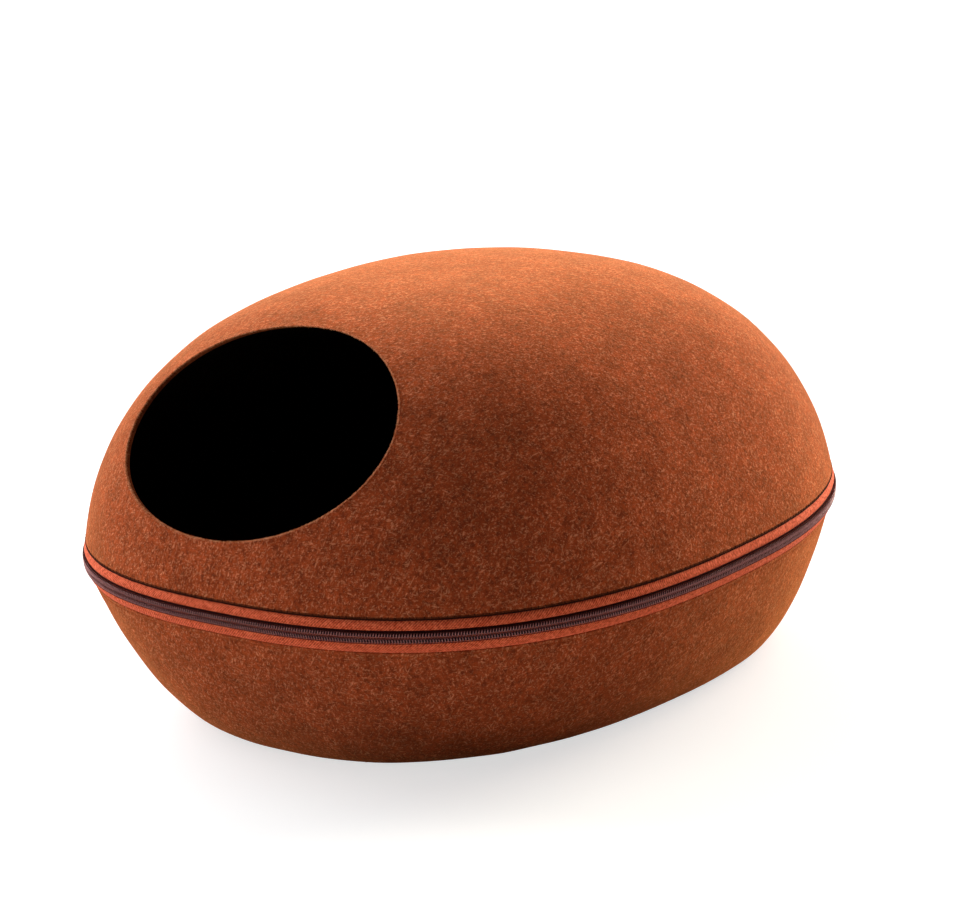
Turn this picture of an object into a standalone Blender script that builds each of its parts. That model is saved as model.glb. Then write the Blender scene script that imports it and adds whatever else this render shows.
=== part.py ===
"""Cat cave bed: a pressed felt tray and a pressed felt dome, joined all round by a coil zip.

Metres, +Z up. The origin is the middle of the flat underside that the bed rests on. +X is the
rear end, and the round entrance is cut into the dome at the -X end. Lengths across the zip band
are written as (outward, upward) from the line where the two rows of coil meet, which is called
the zip line below.
"""
import math

import bmesh
import bpy
import numpy as np

# Plan of the zip line: half a superellipse at each end
RIM_HALF_LENGTH = 0.240
RIM_HALF_WIDTH = 0.203
FRONT_EXPONENT = 2.48
REAR_EXPONENT = 2.28
RIM_WIDER_TO_REAR = 0.012
RIM_SHIFT = -0.004

# Heights above the floor
ZIP_HEIGHT = 0.0944
BED_HEIGHT = 0.246

# Felt, thinned by its seam where it laps over the zip tapes
FELT_THICKNESS = 0.0035
SEAM_FELT_THICKNESS = 0.0018
FELT_EDGE_ROUNDING = 0.0007
DOME_EDGE_INSET = 0.0018
DOME_EDGE_RISE = 0.0102
TRAY_EDGE_INSET = 0.0042
TRAY_EDGE_DROP = 0.0097
SEAM_DEPTH = 0.0055
SEAM_RUN_OUT = 0.006

# Dome, which springs from the zip band as the upper part of a superellipsoid
DOME_SPRING_ANGLE = math.radians(7.5)
DOME_PLAN_EXPONENT = 2.74
DOME_RISE_EXPONENT = 1.96
DOME_CROWN_SHIFT = -0.0036

# Flat underside of the tray
BASE_HALF_LENGTH = 0.1897
BASE_HALF_WIDTH = 0.1473
BASE_EXPONENT = 2.4
BASE_WIDER_TO_REAR = 0.089
BASE_REARWARD = 0.002

# Tray wall, a Bezier curve from rim to base, as shares of the way in and of the way down
TRAY_RIM_PULL_IN = 0.446
TRAY_RIM_PULL_DOWN = 0.83
TRAY_BASE_PULL_OUT = 0.051

# Entrance, cut along one slanting line
ENTRANCE_HALF_WIDTH = 0.096
ENTRANCE_HALF_HEIGHT = 0.0642
ENTRANCE_TILT = math.radians(19.2)
ENTRANCE_CENTRE_Y = 0.0128
ENTRANCE_CENTRE_HEIGHT = 0.1174
ENTRANCE_CUT_FROM = 0.10
ENTRANCE_CUT_TO = 0.34

# Zip tapes: the outer face of each one, (outward, away from the zip line), and its bulge
TAPE_THICKNESS = 0.001
TAPE_LAP = 0.0045
TAPE_INNER_EDGE = (-0.0016, 0.0015)
TAPE_COIL_EDGE = (-0.0016, 0.0038)
TAPE_BULGE = 0.0006

# Zip coils: the outer shape of each row of turns
COIL_INNER_FACE = -0.0013
COIL_OUTER_FACE = 0.0013
COIL_HALF_GAP = 0.00015
COIL_ROW_WIDTH = 0.0031
COIL_SIDES = 8
COIL_REAR_GAP_ANGLE = math.radians(0.9)

# Slider and pull tab, at the rear end of the zip. The slider's neck fills the gap in the coils
PLATE_LENGTH = 0.0125
PLATE_WIDTH = 0.0096
BACK_PLATE_WIDTH = 0.0072
PLATE_THICKNESS = 0.0014
PLATE_MIDDLE_Y = 0.0030
FRONT_PLATE_OUTWARD = 0.0017
BACK_PLATE_OUTWARD = -0.0032
NECK_LENGTH = 0.0034
NECK_WIDTH = 0.0022
FLANGE_THICKNESS = 0.0009
FLANGE_INWARD = -0.0008
BRIDGE_LENGTH = 0.0075
BRIDGE_WIDTH = 0.0022
BRIDGE_HEIGHT = 0.0030
BRIDGE_BAR = 0.0011
PULL_LENGTH = 0.026
PULL_ROOT_WIDTH = 0.0052
PULL_TIP_WIDTH = 0.0074
PULL_THICKNESS = 0.0012
PULL_EYE_LENGTH = 0.0040
PULL_EYE_WIDTH = 0.0030
PULL_DROOP = math.radians(5)

# Space between pieces that touch
GAP = 0.0003

# Fineness of the solids
SEGMENTS = 72
DOME_ROWS = 13
DOME_INNER_ROWS = 9
TRAY_ROWS = 10
TRAY_INNER_ROWS = 8
ENTRANCE_SEGMENTS = 56
SMOOTH_ANGLE = math.radians(42)


def signed_power(values, exponent):
    """Each value's size raised to the exponent, with its own sign."""
    return np.sign(values) * np.abs(values) ** exponent


def plan_outline(half_length, half_width, front_exponent, rear_exponent, wider_to_rear, shift):
    """Points of a superellipse in plan, from the rear end round by +Y, as SEGMENTS rows of (x, y)."""
    angles = np.arange(SEGMENTS) * 2.0 * math.pi / SEGMENTS
    exponents = np.where(np.cos(angles) < 0.0, front_exponent, rear_exponent)
    along = signed_power(np.cos(angles), 2.0 / exponents)
    across = signed_power(np.sin(angles), 2.0 / exponents)
    x = half_length * along + shift * (1.0 - along ** 2)
    y = half_width * across * (1.0 + wider_to_rear * along)
    return np.stack([x, y], axis=1)


def offset_outline(outline, outward):
    """The closed outline moved along its own normals."""
    tangents = np.roll(outline, -1, axis=0) - np.roll(outline, 1, axis=0)
    normals = np.stack([tangents[:, 1], -tangents[:, 0]], axis=1)
    normals /= np.linalg.norm(normals, axis=1, keepdims=True)
    return outline + outward * normals


def at_height(outline, height):
    """The plan outline as points at one height."""
    return np.column_stack([outline, np.full(len(outline), height)])


RIM = plan_outline(RIM_HALF_LENGTH, RIM_HALF_WIDTH, FRONT_EXPONENT, REAR_EXPONENT,
                   RIM_WIDER_TO_REAR, RIM_SHIFT)
BASE = plan_outline(BASE_HALF_LENGTH, BASE_HALF_WIDTH, BASE_EXPONENT, BASE_EXPONENT,
                    BASE_WIDER_TO_REAR, 0.0) + np.array([BASE_REARWARD, 0.0])
DOME_CROWN = BED_HEIGHT - ZIP_HEIGHT - DOME_EDGE_RISE
TRAY_RIM_HEIGHT = ZIP_HEIGHT - TRAY_EDGE_DROP


def band_ring(outward, upward):
    """A ring round the bed at a place in the zip band's section."""
    return at_height(offset_outline(RIM, outward), ZIP_HEIGHT + upward)


def dome_ring(rise, thickness):
    """The dome's ring at a share of the way up from its sewn edge, at a depth in from its outer face."""
    spring_rise = math.sin(DOME_SPRING_ANGLE) ** (2.0 / DOME_RISE_EXPONENT)
    spring_reach = math.cos(DOME_SPRING_ANGLE) ** (2.0 / DOME_PLAN_EXPONENT)
    sine = (spring_rise + (1.0 - spring_rise) * rise) ** (DOME_RISE_EXPONENT / 2.0)
    cosine = math.sqrt(max(0.0, 1.0 - sine ** 2))
    reach = cosine ** (2.0 / DOME_PLAN_EXPONENT) / spring_reach
    plan = offset_outline(RIM, -DOME_EDGE_INSET - thickness) * reach
    ring = at_height(plan, ZIP_HEIGHT + DOME_EDGE_RISE + (DOME_CROWN - thickness) * rise)
    ring[:, 0] += DOME_CROWN_SHIFT * rise
    return ring


def tray_ring(fall, thickness):
    """The tray's ring at a share of its curve from rim to base, at a depth in from its outer face."""
    left = 1.0 - fall
    weights = np.array([left ** 3, 3.0 * fall * left ** 2, 3.0 * fall ** 2 * left, fall ** 3])
    inward = weights @ np.array([0.0, TRAY_RIM_PULL_IN, 1.0 - TRAY_BASE_PULL_OUT, 1.0])
    level = weights @ np.array([1.0, 1.0 - TRAY_RIM_PULL_DOWN, 0.0, 0.0])
    rim = offset_outline(RIM, -TRAY_EDGE_INSET - thickness)
    base = offset_outline(BASE, -thickness)
    height = thickness + (TRAY_RIM_HEIGHT - thickness) * level
    return at_height(rim * (1.0 - inward) + base * inward, height)


def tray_fall(depth):
    """Share along the tray's curve of a place a short way below its rim."""
    return depth / (3.0 * TRAY_RIM_PULL_DOWN * TRAY_RIM_HEIGHT)


def felt_thickness(depth):
    """Thickness of the felt at a distance from its sewn edge."""
    share = min(1.0, max(0.0, (depth - SEAM_DEPTH) / SEAM_RUN_OUT))
    return SEAM_FELT_THICKNESS + (FELT_THICKNESS - SEAM_FELT_THICKNESS) * share


def dome_rises(rows):
    """Shares of the dome's rise, evenly spaced in angle, from its edge to just below its crown."""
    angles = np.linspace(DOME_SPRING_ANGLE, math.pi / 2.0, rows + 1)[:-1]
    rises = np.sin(angles) ** (2.0 / DOME_RISE_EXPONENT)
    return (rises - rises[0]) / (1.0 - rises[0])


def make_material(name, colour, roughness, metallic=0.0):
    material = bpy.data.materials.new(name)
    material.use_nodes = True
    shader = material.node_tree.nodes["Principled BSDF"]
    shader.inputs["Base Color"].default_value = (*colour, 1.0)
    shader.inputs["Roughness"].default_value = roughness
    shader.inputs["Metallic"].default_value = metallic
    return material


def add_object(name, vertices, faces, material):
    mesh = bpy.data.meshes.new(name)
    mesh.from_pydata([tuple(point) for point in vertices], [], faces)
    shell = bmesh.new()
    shell.from_mesh(mesh)
    bmesh.ops.recalc_face_normals(shell, faces=shell.faces)
    shell.to_mesh(mesh)
    shell.free()
    mesh.shade_smooth()
    mesh.set_sharp_from_angle(angle=SMOOTH_ANGLE)
    mesh.materials.append(material)
    item = bpy.data.objects.new(name, mesh)
    bpy.context.scene.collection.objects.link(item)
    return item


def skin(name, rings, material, ends="flat"):
    """A closed solid over rings of points.

    ends is flat for a face across each end, joined where the last ring meets the first, or
    crown for a point above each end ring, at the middle of the dome.
    """
    count = len(rings[0])
    vertices = [point for ring in rings for point in ring]
    strips = len(rings) if ends == "joined" else len(rings) - 1
    faces = []
    for row in range(strips):
        near = row * count
        far = (row + 1) % len(rings) * count
        for column in range(count):
            after = (column + 1) % count
            faces.append((near + column, near + after, far + after, far + column))
    last = (len(rings) - 1) * count
    if ends == "flat":
        faces.append(tuple(range(count)))
        faces.append(tuple(range(last, last + count)))
    if ends == "crown":
        for start, height in ((0, BED_HEIGHT - FELT_THICKNESS), (last, BED_HEIGHT)):
            pole = len(vertices)
            vertices.append(np.array([DOME_CROWN_SHIFT, 0.0, height]))
            for column in range(count):
                faces.append((start + column, start + (column + 1) % count, pole))
    return add_object(name, vertices, faces, material)


def combine(item, other, operation):
    """Joins another object on or cuts it away, and hides that object."""
    other.hide_render = True
    other.display_type = "WIRE"
    step = item.modifiers.new(other.name, "BOOLEAN")
    step.operation = operation
    step.solver = "EXACT"
    step.object = other


def make_entrance_cutter(material):
    """A long oval plug along the slanting line of the entrance."""
    angles = np.arange(ENTRANCE_SEGMENTS) * 2.0 * math.pi / ENTRANCE_SEGMENTS
    sideways = ENTRANCE_CENTRE_Y + ENTRANCE_HALF_WIDTH * np.cos(angles)
    upward = ENTRANCE_CENTRE_HEIGHT + ENTRANCE_HALF_HEIGHT * np.sin(angles)
    up_axis = np.array([math.sin(ENTRANCE_TILT), 0.0, math.cos(ENTRANCE_TILT)])
    out_axis = np.array([-math.cos(ENTRANCE_TILT), 0.0, math.sin(ENTRANCE_TILT)])
    side_axis = np.array([0.0, 1.0, 0.0])
    outline = np.outer(sideways, side_axis) + np.outer(upward, up_axis)
    ends = (ENTRANCE_CUT_FROM, ENTRANCE_CUT_TO)
    return skin("entrance_cutter", [outline + reach * out_axis for reach in ends], material)


def make_dome(felt):
    """The upper felt shell, from its inner crown down over its sewn edge and up its outer face."""
    seam_depths = (0.0, SEAM_DEPTH, SEAM_DEPTH + SEAM_RUN_OUT)
    inner = [dome_ring(depth / DOME_CROWN, felt_thickness(depth)) for depth in seam_depths]
    for rise in dome_rises(DOME_INNER_ROWS):
        if rise * DOME_CROWN > seam_depths[-1] + SEAM_RUN_OUT:
            inner.append(dome_ring(rise, FELT_THICKNESS))
    inner.reverse()
    outer = [dome_ring(0.0, FELT_EDGE_ROUNDING), dome_ring(FELT_EDGE_ROUNDING / DOME_CROWN, 0.0)]
    outer.extend(dome_ring(rise, 0.0) for rise in dome_rises(DOME_ROWS)[1:])
    dome = skin("dome_shell", inner + outer, felt, ends="crown")
    combine(dome, make_entrance_cutter(felt), "DIFFERENCE")
    return dome


def make_tray(felt):
    """The lower felt shell, from its inner floor over its sewn edge and down to its underside."""
    seam_depths = (0.0, SEAM_DEPTH, SEAM_DEPTH + SEAM_RUN_OUT)
    inner = [tray_ring(tray_fall(depth), felt_thickness(depth)) for depth in seam_depths]
    for fall in np.linspace(0.0, 1.0, TRAY_INNER_ROWS):
        if fall > tray_fall(seam_depths[-1] + SEAM_RUN_OUT):
            inner.append(tray_ring(fall, FELT_THICKNESS))
    inner.reverse()
    outer = [tray_ring(0.0, FELT_EDGE_ROUNDING), tray_ring(tray_fall(FELT_EDGE_ROUNDING), 0.0)]
    outer.extend(tray_ring(fall, 0.0) for fall in np.linspace(0.0, 1.0, TRAY_ROWS)[1:])
    return skin("tray_shell", inner + outer, felt)


def make_tape(name, side, seam, lap_ring, material):
    """A woven tape, from behind its row of coil out to the strip sewn behind the felt.

    side is 1 above the zip line and -1 below it. seam is the felt's edge, as its inset and its
    distance from the zip line. lap_ring gives the ring where the tape ends, from a depth behind
    the felt's outer face.
    """
    edge_inset, edge_distance = seam
    hidden = SEAM_FELT_THICKNESS + GAP
    seam_place = (-edge_inset - hidden, edge_distance)
    middle = tuple((near + far) / 2.0 for near, far in zip(TAPE_COIL_EDGE, seam_place))
    bulged = (middle[0] + TAPE_BULGE, middle[1])
    places = (TAPE_INNER_EDGE, TAPE_COIL_EDGE, bulged, seam_place)
    outer = [band_ring(outward, side * away) for outward, away in places]
    outer.append(lap_ring(hidden))
    inner = [band_ring(outward - TAPE_THICKNESS, side * away) for outward, away in places]
    inner.append(lap_ring(hidden + TAPE_THICKNESS))
    return skin(name, outer + inner[::-1], material, ends="joined")


def make_coil(name, side, material):
    """The outer shape of one row of coil, open by a short gap at the rear."""
    outward_middle = (COIL_INNER_FACE + COIL_OUTER_FACE) / 2.0
    outward_reach = (COIL_OUTER_FACE - COIL_INNER_FACE) / 2.0
    upward_middle = COIL_HALF_GAP + COIL_ROW_WIDTH / 2.0
    turn = 2.0 * math.pi / COIL_SIDES
    section = []
    for corner in range(COIL_SIDES):
        angle = (corner + 0.5) * turn
        stretch = 1.0 / math.cos(turn / 2.0)
        outward = outward_middle + outward_reach * stretch * math.cos(angle)
        upward = side * (upward_middle + COIL_ROW_WIDTH / 2.0 * stretch * math.sin(angle))
        section.append(band_ring(outward, upward))
    stations = np.stack(section, axis=1)
    share = COIL_REAR_GAP_ANGLE / (2.0 * math.pi / SEGMENTS)
    first = stations[0] * (1.0 - share) + stations[1] * share
    last = stations[0] * (1.0 - share) + stations[-1] * share
    return skin(name, [first, *stations[1:], last], material)


def block(name, lowest, highest, material):
    """A plain box between two corners, each (outward from the zip line, along +Y, upward from it)."""
    low_outward, low_along, low_up = lowest
    high_outward, high_along, high_up = highest
    corners = ((low_outward, low_along), (high_outward, low_along),
               (high_outward, high_along), (low_outward, high_along))
    plan = np.array(corners) + np.array([RIM_HALF_LENGTH, 0.0])
    rings = [at_height(plan, ZIP_HEIGHT + upward) for upward in (low_up, high_up)]
    return skin(name, rings, material)


def make_slider(metal):
    """The slider: two plates either side of the coils, joined by a neck, with flanges and a bridge."""
    start = PLATE_MIDDLE_Y - PLATE_LENGTH / 2.0
    end = PLATE_MIDDLE_Y + PLATE_LENGTH / 2.0
    half = PLATE_WIDTH / 2.0
    back_half = BACK_PLATE_WIDTH / 2.0
    front = FRONT_PLATE_OUTWARD + PLATE_THICKNESS
    back = BACK_PLATE_OUTWARD - PLATE_THICKNESS
    neck = NECK_WIDTH / 2.0
    bridge_half = BRIDGE_WIDTH / 2.0
    bridge_start = PLATE_MIDDLE_Y - BRIDGE_LENGTH / 2.0
    bridge_end = PLATE_MIDDLE_Y + BRIDGE_LENGTH / 2.0
    flange_root = front - PLATE_THICKNESS / 2.0
    slider = block("zip_slider", (FRONT_PLATE_OUTWARD, start, -half), (front, end, half), metal)
    pieces = {
        "slider_neck": ((BACK_PLATE_OUTWARD - GAP, start, -neck), (flange_root, start + NECK_LENGTH, neck)),
        "slider_back": ((back, start, -back_half), (BACK_PLATE_OUTWARD, end, back_half)),
        "slider_lower_flange": ((FLANGE_INWARD, start, -half), (flange_root, end, FLANGE_THICKNESS - half)),
        "slider_upper_flange": ((FLANGE_INWARD, start, half - FLANGE_THICKNESS), (flange_root, end, half)),
        "slider_bridge": ((flange_root, bridge_start, -bridge_half),
                          (front + BRIDGE_HEIGHT, bridge_end, bridge_half)),
    }
    for name, (lowest, highest) in pieces.items():
        combine(slider, block(name, lowest, highest, metal), "UNION")
    eye = block("slider_bridge_hole", (front, bridge_start + BRIDGE_BAR, -half),
                (front + BRIDGE_HEIGHT - BRIDGE_BAR, bridge_end - BRIDGE_BAR, half), metal)
    combine(slider, eye, "DIFFERENCE")
    return slider


def make_pull(metal):
    """The pull tab, lying back along the zip, with its eye round the slider's bridge."""
    front = FRONT_PLATE_OUTWARD + PLATE_THICKNESS + GAP
    post = PLATE_MIDDLE_Y + BRIDGE_LENGTH / 2.0 - BRIDGE_BAR
    root = post - GAP - PULL_THICKNESS
    tip = root + PULL_LENGTH
    outline = ((root, PULL_ROOT_WIDTH / 2.0), (tip - PULL_TIP_WIDTH / 4.0, PULL_TIP_WIDTH / 2.0),
               (tip, PULL_TIP_WIDTH / 4.0))
    edge = [*outline, *((along, -away) for along, away in reversed(outline))]
    slope = math.tan(PULL_DROOP)
    faces = []
    for outward in (front, front + PULL_THICKNESS):
        x = RIM_HALF_LENGTH + outward
        places = [(x, along, ZIP_HEIGHT + away - slope * (along - root)) for along, away in edge]
        faces.append(np.array(places))
    pull = skin("zip_pull", faces, metal)
    eye_start = root + PULL_THICKNESS
    eye = block("pull_eye", (front - GAP, eye_start, -PULL_EYE_WIDTH / 2.0),
                (front + PULL_THICKNESS + GAP, eye_start + PULL_EYE_LENGTH, PULL_EYE_WIDTH / 2.0), metal)
    combine(pull, eye, "DIFFERENCE")
    return pull


def build():
    for item in list(bpy.data.objects):
        bpy.data.objects.remove(item, do_unlink=True)
    felt = make_material("felt", (0.34, 0.10, 0.045), 0.95)
    tape = make_material("tape", (0.52, 0.11, 0.05), 0.8)
    nylon = make_material("nylon_coil", (0.055, 0.012, 0.010), 0.45)
    metal = make_material("slider_metal", (0.06, 0.045, 0.04), 0.35, metallic=1.0)
    make_dome(felt)
    make_tray(felt)
    make_tape("zip_tape_upper", 1, (DOME_EDGE_INSET, DOME_EDGE_RISE),
              lambda depth: dome_ring(TAPE_LAP / DOME_CROWN, depth), tape)
    make_tape("zip_tape_lower", -1, (TRAY_EDGE_INSET, TRAY_EDGE_DROP),
              lambda depth: tray_ring(tray_fall(TAPE_LAP), depth), tape)
    make_coil("zip_coil_upper", 1, nylon)
    make_coil("zip_coil_lower", -1, nylon)
    make_slider(metal)
    make_pull(metal)


build()
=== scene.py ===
"""The looks of the cat cave bed: felt, fibres, seams and the coil zip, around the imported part.

Metres, +Z up, in the part's own frame: the entrance is at the -X end and the slider at the +X end.
Lengths across the zip band are written as (outward, upward) from the line where the coils meet.
"""
import math
from functools import partial

import bpy
import numpy as np
from mathutils import Matrix, Vector


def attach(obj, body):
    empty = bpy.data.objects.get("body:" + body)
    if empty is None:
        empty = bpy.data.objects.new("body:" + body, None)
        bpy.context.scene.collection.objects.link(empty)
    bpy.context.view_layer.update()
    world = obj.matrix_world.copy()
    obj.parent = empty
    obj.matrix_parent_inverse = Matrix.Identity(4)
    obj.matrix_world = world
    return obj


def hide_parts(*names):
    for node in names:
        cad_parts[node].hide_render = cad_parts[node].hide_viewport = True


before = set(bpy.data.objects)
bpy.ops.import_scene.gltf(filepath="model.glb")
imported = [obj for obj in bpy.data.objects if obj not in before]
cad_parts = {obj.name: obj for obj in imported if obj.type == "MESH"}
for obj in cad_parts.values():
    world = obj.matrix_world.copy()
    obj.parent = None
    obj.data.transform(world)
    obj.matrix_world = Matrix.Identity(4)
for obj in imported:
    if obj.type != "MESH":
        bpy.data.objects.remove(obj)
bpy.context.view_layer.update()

BODY = "root"
TAU = 2.0 * math.pi

# The bed's shape, with the part's own numbers
RIM = (0.240, 0.203, 2.48, 2.28, 0.012, -0.004)
BASE = (0.1897, 0.1473, 2.4, 2.4, 0.089, 0.0)
BASE_REARWARD = 0.002
ZIP_HEIGHT = 0.0944
BED_HEIGHT = 0.246
FELT_THICKNESS = 0.0035
SEAM_FELT_THICKNESS = 0.0018
SEAM_DEPTH = 0.0055
SEAM_RUN_OUT = 0.006
DOME_EDGE_INSET = 0.0018
DOME_EDGE_RISE = 0.0102
TRAY_EDGE_INSET = 0.0042
TRAY_EDGE_DROP = 0.0097
DOME_SPRING_ANGLE = math.radians(7.5)
DOME_PLAN_EXPONENT = 2.74
DOME_RISE_EXPONENT = 1.96
DOME_CROWN_SHIFT = -0.0036
TRAY_RIM_PULL_IN = 0.446
TRAY_RIM_PULL_DOWN = 0.83
TRAY_BASE_PULL_OUT = 0.051
ENTRANCE_HALF_WIDTH = 0.096
ENTRANCE_HALF_HEIGHT = 0.0642
ENTRANCE_TILT = math.radians(19.2)
ENTRANCE_CENTRE_Y = 0.0128
ENTRANCE_CENTRE_HEIGHT = 0.1174
TAPE_LAP = 0.0045
TAPE_BULGE = 0.0006
COIL_GAP_HALF = 0.0043
DOME_CROWN = BED_HEIGHT - ZIP_HEIGHT - DOME_EDGE_RISE
TRAY_RIM_HEIGHT = ZIP_HEIGHT - TRAY_EDGE_DROP
SPRING_SHARE = math.sin(DOME_SPRING_ANGLE) ** (2.0 / DOME_RISE_EXPONENT)
SPRING_REACH = math.cos(DOME_SPRING_ANGLE) ** (2.0 / DOME_PLAN_EXPONENT)

REAR_X = RIM[0]

# Fineness
TABLE_SIZE = 14400
DOME_COLUMNS = 600
TRAY_COLUMNS = 520
TAPE_COLUMNS = 760


# ---------------------------------------------------------------- camera

CAMERA_AZIMUTH = -0.9253010749675162
CAMERA_ELEVATION = 0.27269669595565404
CAMERA_ROLL = -0.04657028
CAMERA_DISTANCE = 1.98289895
CAMERA_TARGET = (0.0, 0.0, 0.12)
FOCAL_PIXELS = 3253.527
PRINCIPAL_POINT = (469.502, 470.370)
PICTURE = (970, 910)
SENSOR = 36.0


def add_object(name, data):
    made = bpy.data.objects.new(name, data)
    bpy.context.scene.collection.objects.link(made)
    return made


def direction(azimuth, elevation):
    """The direction to a place: azimuth turns from -Y towards +X."""
    level = math.cos(elevation)
    return Vector((math.sin(azimuth) * level, -math.cos(azimuth) * level, math.sin(elevation)))


def make_camera():
    """The photo's own camera, as fitted to the outlines of the bed."""
    back = direction(CAMERA_AZIMUTH, CAMERA_ELEVATION)
    right = Vector((math.cos(CAMERA_AZIMUTH), math.sin(CAMERA_AZIMUTH), 0.0))
    up = back.cross(right)
    cos_roll, sin_roll = math.cos(CAMERA_ROLL), math.sin(CAMERA_ROLL)
    rolled_right = right * cos_roll + up * sin_roll
    rolled_up = up * cos_roll - right * sin_roll
    place = Vector(CAMERA_TARGET) + back * CAMERA_DISTANCE
    data = bpy.data.cameras.new("photo_camera")
    data.sensor_width = SENSOR
    data.lens = FOCAL_PIXELS * SENSOR / PICTURE[0]
    data.shift_x = (PICTURE[0] / 2.0 - PRINCIPAL_POINT[0]) / PICTURE[0]
    data.shift_y = (PRINCIPAL_POINT[1] - PICTURE[1] / 2.0) / PICTURE[0]
    data.clip_start = 0.05
    data.clip_end = 60.0
    camera = add_object("photo_camera", data)
    axes = Matrix((rolled_right, rolled_up, back)).transposed().to_4x4()
    camera.matrix_world = Matrix.Translation(place) @ axes
    bpy.context.scene.camera = camera


make_camera()


# ---------------------------------------------------------------- shapes

def unit(vectors):
    return vectors / np.linalg.norm(vectors, axis=1, keepdims=True)


def signed_power(values, exponent):
    """Each value's size raised to the exponent, with its own sign."""
    return np.sign(values) * np.abs(values) ** exponent


def plan_table(half_length, half_width, front_exponent, rear_exponent, wider_to_rear, shift):
    """Points of a superellipse in plan at TABLE_SIZE even angles, from the rear end round by +Y."""
    angles = np.arange(TABLE_SIZE) * TAU / TABLE_SIZE
    exponents = np.where(np.cos(angles) < 0.0, front_exponent, rear_exponent)
    along = signed_power(np.cos(angles), 2.0 / exponents)
    across = signed_power(np.sin(angles), 2.0 / exponents)
    x = half_length * along + shift * (1.0 - along ** 2)
    y = half_width * across * (1.0 + wider_to_rear * along)
    return np.stack([x, y], axis=1)


def outline_normals(outline, reach=12):
    """Level directions out of a closed outline, smoothed over a few points each way."""
    tangents = np.roll(outline, -reach, axis=0) - np.roll(outline, reach, axis=0)
    normals = np.stack([tangents[:, 1], -tangents[:, 0]], axis=1)
    return unit(normals)


RIM_TABLE = plan_table(*RIM)
RIM_NORMALS = outline_normals(RIM_TABLE)
BASE_TABLE = plan_table(*BASE) + np.array([BASE_REARWARD, 0.0])
BASE_NORMALS = outline_normals(BASE_TABLE)
STEPS = np.linalg.norm(np.roll(RIM_TABLE, -1, axis=0) - RIM_TABLE, axis=1)
ARC_LENGTHS = np.concatenate([[0.0], np.cumsum(STEPS)])
RIM_LENGTH = float(ARC_LENGTHS[-1])


def look_up(table, angles):
    """Values of a table of TABLE_SIZE even angles at any angles."""
    places = np.asarray(angles) / TAU * TABLE_SIZE
    low = np.floor(places).astype(int)
    share = (places - low)[..., None]
    return table[low % TABLE_SIZE] * (1.0 - share) + table[(low + 1) % TABLE_SIZE] * share


def angle_at(length):
    """The table angle at a length along the rim, from the rear end."""
    places = np.interp(np.mod(length, RIM_LENGTH), ARC_LENGTHS, np.arange(TABLE_SIZE + 1))
    return places * TAU / TABLE_SIZE


def join_height(plan, height):
    """Points in space from points in plan and their heights."""
    return np.concatenate([plan, np.broadcast_to(np.asarray(height)[..., None], plan.shape[:-1] + (1,))], axis=-1)


def band_point(angles, outward, upward):
    """Points of the zip band, at places in its section."""
    outward = np.broadcast_to(np.asarray(outward, dtype=float), np.shape(angles))
    plan = look_up(RIM_TABLE, angles) + outward[..., None] * look_up(RIM_NORMALS, angles)
    return join_height(plan, ZIP_HEIGHT + np.broadcast_to(np.asarray(upward, dtype=float), np.shape(angles)))


def dome_point(angles, slope, depth):
    """Points of the dome: slope is the superellipsoid's angle, and depth is in from its outer face."""
    angles, slope, depth = np.broadcast_arrays(angles, slope, depth)
    rise = (np.sin(slope) ** (2.0 / DOME_RISE_EXPONENT) - SPRING_SHARE) / (1.0 - SPRING_SHARE)
    reach = np.maximum(np.cos(slope), 0.0) ** (2.0 / DOME_PLAN_EXPONENT) / SPRING_REACH
    inset = (DOME_EDGE_INSET + depth)[..., None]
    plan = (look_up(RIM_TABLE, angles) - inset * look_up(RIM_NORMALS, angles)) * reach[..., None]
    points = join_height(plan, ZIP_HEIGHT + DOME_EDGE_RISE + (DOME_CROWN - depth) * rise)
    points[..., 0] += DOME_CROWN_SHIFT * rise
    return points


def dome_slope(height):
    """The slope angle at a height above the dome's sewn edge."""
    share = SPRING_SHARE + (1.0 - SPRING_SHARE) * np.asarray(height, dtype=float) / DOME_CROWN
    return np.arcsin(np.clip(share, 0.0, 1.0) ** (DOME_RISE_EXPONENT / 2.0))


def tray_point(angles, fall, depth):
    """Points of the tray: fall is the share along its curve from rim to base."""
    angles, fall, depth = np.broadcast_arrays(angles, fall, depth)
    left = 1.0 - fall
    weights = np.stack([left ** 3, 3.0 * fall * left ** 2, 3.0 * fall ** 2 * left, fall ** 3], axis=-1)
    inward = weights @ np.array([0.0, TRAY_RIM_PULL_IN, 1.0 - TRAY_BASE_PULL_OUT, 1.0])
    level = weights @ np.array([1.0, 1.0 - TRAY_RIM_PULL_DOWN, 0.0, 0.0])
    rim = look_up(RIM_TABLE, angles) - (TRAY_EDGE_INSET + depth)[..., None] * look_up(RIM_NORMALS, angles)
    base = look_up(BASE_TABLE, angles) - depth[..., None] * look_up(BASE_NORMALS, angles)
    height = depth + (TRAY_RIM_HEIGHT - depth) * level
    return join_height(rim * (1.0 - inward[..., None]) + base * inward[..., None], height)


def tray_fall(distance):
    """Share along the tray's curve of a place a short way below its rim."""
    return distance / (3.0 * TRAY_RIM_PULL_DOWN * TRAY_RIM_HEIGHT)


def felt_thickness(distance):
    """Thickness of the felt at a distance from its sewn edge."""
    share = min(1.0, max(0.0, (distance - SEAM_DEPTH) / SEAM_RUN_OUT))
    return SEAM_FELT_THICKNESS + (FELT_THICKNESS - SEAM_FELT_THICKNESS) * share


WAVE_RANDOM = np.random.default_rng(41)
WAVE_DIRECTIONS = WAVE_RANDOM.normal(size=(14, 3))
WAVE_DIRECTIONS = unit(WAVE_DIRECTIONS)
WAVE_NUMBERS = TAU / WAVE_RANDOM.uniform(0.022, 0.085, 14)
WAVE_PHASES = WAVE_RANDOM.uniform(0.0, TAU, 14)


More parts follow.
